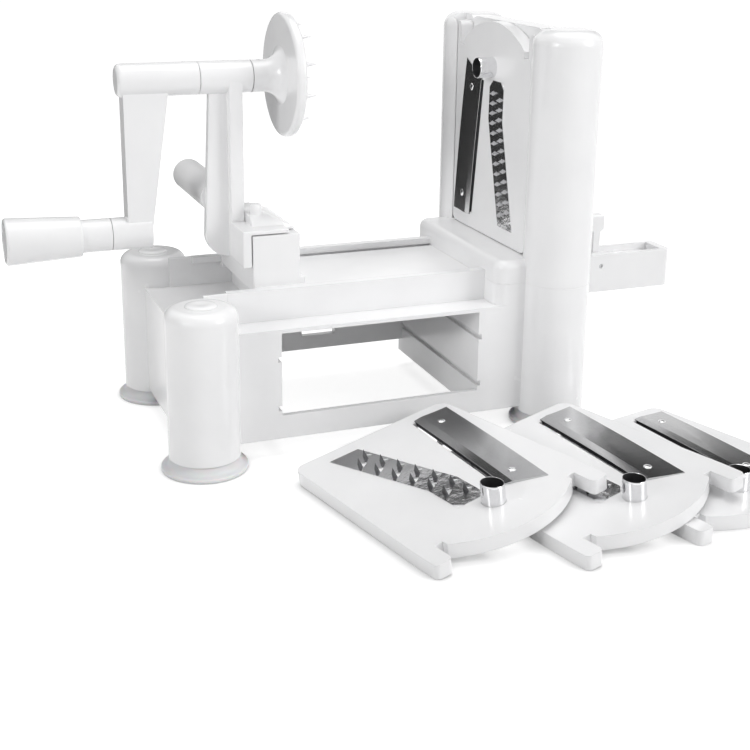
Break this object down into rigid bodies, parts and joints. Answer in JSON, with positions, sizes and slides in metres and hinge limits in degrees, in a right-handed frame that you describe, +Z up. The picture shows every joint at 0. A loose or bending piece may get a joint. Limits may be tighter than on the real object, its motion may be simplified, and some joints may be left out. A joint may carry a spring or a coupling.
{
  "type": "hand-cranked spiralizer",
  "caption": "White folding spiralizer with a sliding crank carriage, a spiked chuck, a tower holding a blade plate and spare blade plates in front.",
  "frame": {"origin": "middle of the whole outline, on the table", "axes": "+Z up; +X along the track from the crank to the tower; -Y is the front, where the blade plates are stored"},
  "size_m": [0.4436, 0.3426, 0.2546],
  "materials": {
    "white_gloss": "glossy moulded",
    "cup_rubber": "smooth soft",
    "blade_steel": "brushed",
    "ring_steel": "polished",
    "plain_steel": "plain",
    "bush_plastic": "plain"
  },
  "bodies": {
    "base": {"base_frame": "white_gloss", "tower_frame": "white_gloss", "suction_cup_front_left": "cup_rubber", "suction_cup_back_left": "cup_rubber", "suction_cup_front_right": "cup_rubber", "suction_cup_back_right": "cup_rubber", "cup_screws": "plain_steel", "tower_screws": "plain_steel", "column_plug_front": "white_gloss", "column_plug_back": "white_gloss", "steady_arm": "white_gloss", "arm_screws": "plain_steel", "latch_pin": "plain_steel", "latch_spring": "plain_steel", "blade_plate_coarse": "white_gloss", "straight_blade_coarse": "blade_steel", "blade_rivets_coarse": "white_gloss", "coring_ring_coarse": "ring_steel", "toothed_strip_coarse": "blade_steel", "blade_plate_medium": "white_gloss", "straight_blade_medium": "blade_steel", "blade_rivets_medium": "white_gloss", "coring_ring_medium": "ring_steel", "toothed_strip_medium": "blade_steel", "blade_plate_ribbon": "white_gloss", "straight_blade_ribbon": "blade_steel", "blade_rivets_ribbon": "white_gloss", "coring_ring_ribbon": "ring_steel"},
    "carriage": {"carriage_body": "white_gloss", "carriage_cover": "white_gloss", "crank_post": "white_gloss", "post_screws": "plain_steel", "push_handle": "white_gloss", "handle_screw": "plain_steel", "rear_bush": "bush_plastic", "front_bush": "bush_plastic", "button_spring": "plain_steel"},
    "button": {"release_button": "white_gloss"},
    "crank": {"crank_arm": "white_gloss", "spindle": "plain_steel", "chuck_disc": "white_gloss", "hub_pin": "plain_steel", "chuck_pin": "plain_steel", "grip_pin": "plain_steel"},
    "grip": {"grip_sleeve": "white_gloss"},
    "plate": {"blade_plate_fine": "white_gloss", "straight_blade_fine": "blade_steel", "blade_rivets_fine": "white_gloss", "coring_ring_fine": "ring_steel", "toothed_strip_fine": "blade_steel"},
    "latch": {"latch_lever": "white_gloss"}
  },
  "joints": [
    {"name": "carriage_slide", "type": "slide", "parent": "base", "child": "carriage", "axis": [1, 0, 0], "range_m": [0, 0.114]},
    {"name": "crank_turn", "type": "hinge", "parent": "carriage", "child": "crank", "pos_m": [-0.1232, 0.08125, 0.2176], "axis": [1, 0, 0], "continuous": true},
    {"name": "grip_turn", "type": "hinge", "parent": "crank", "child": "grip", "pos_m": [-0.1782, 0.08125, 0.1276], "axis": [1, 0, 0], "continuous": true},
    {"name": "button_press", "type": "slide", "parent": "carriage", "child": "button", "axis": [0, 0, -1], "range_m": [0, 0.003], "stiffness_N_per_m": 400, "deforming": ["button_spring"]},
    {"name": "plate_lift", "type": "slide", "parent": "base", "child": "plate", "axis": [0, 0, 1], "range_m": [0, 0.13]},
    {"name": "latch_turn", "type": "hinge", "parent": "base", "child": "latch", "pos_m": [0.1678, 0.08125, 0.082], "axis": [0, 1, 0], "range_deg": [0, 20], "stiffness_Nm_per_rad": 0.05}
  ]
}
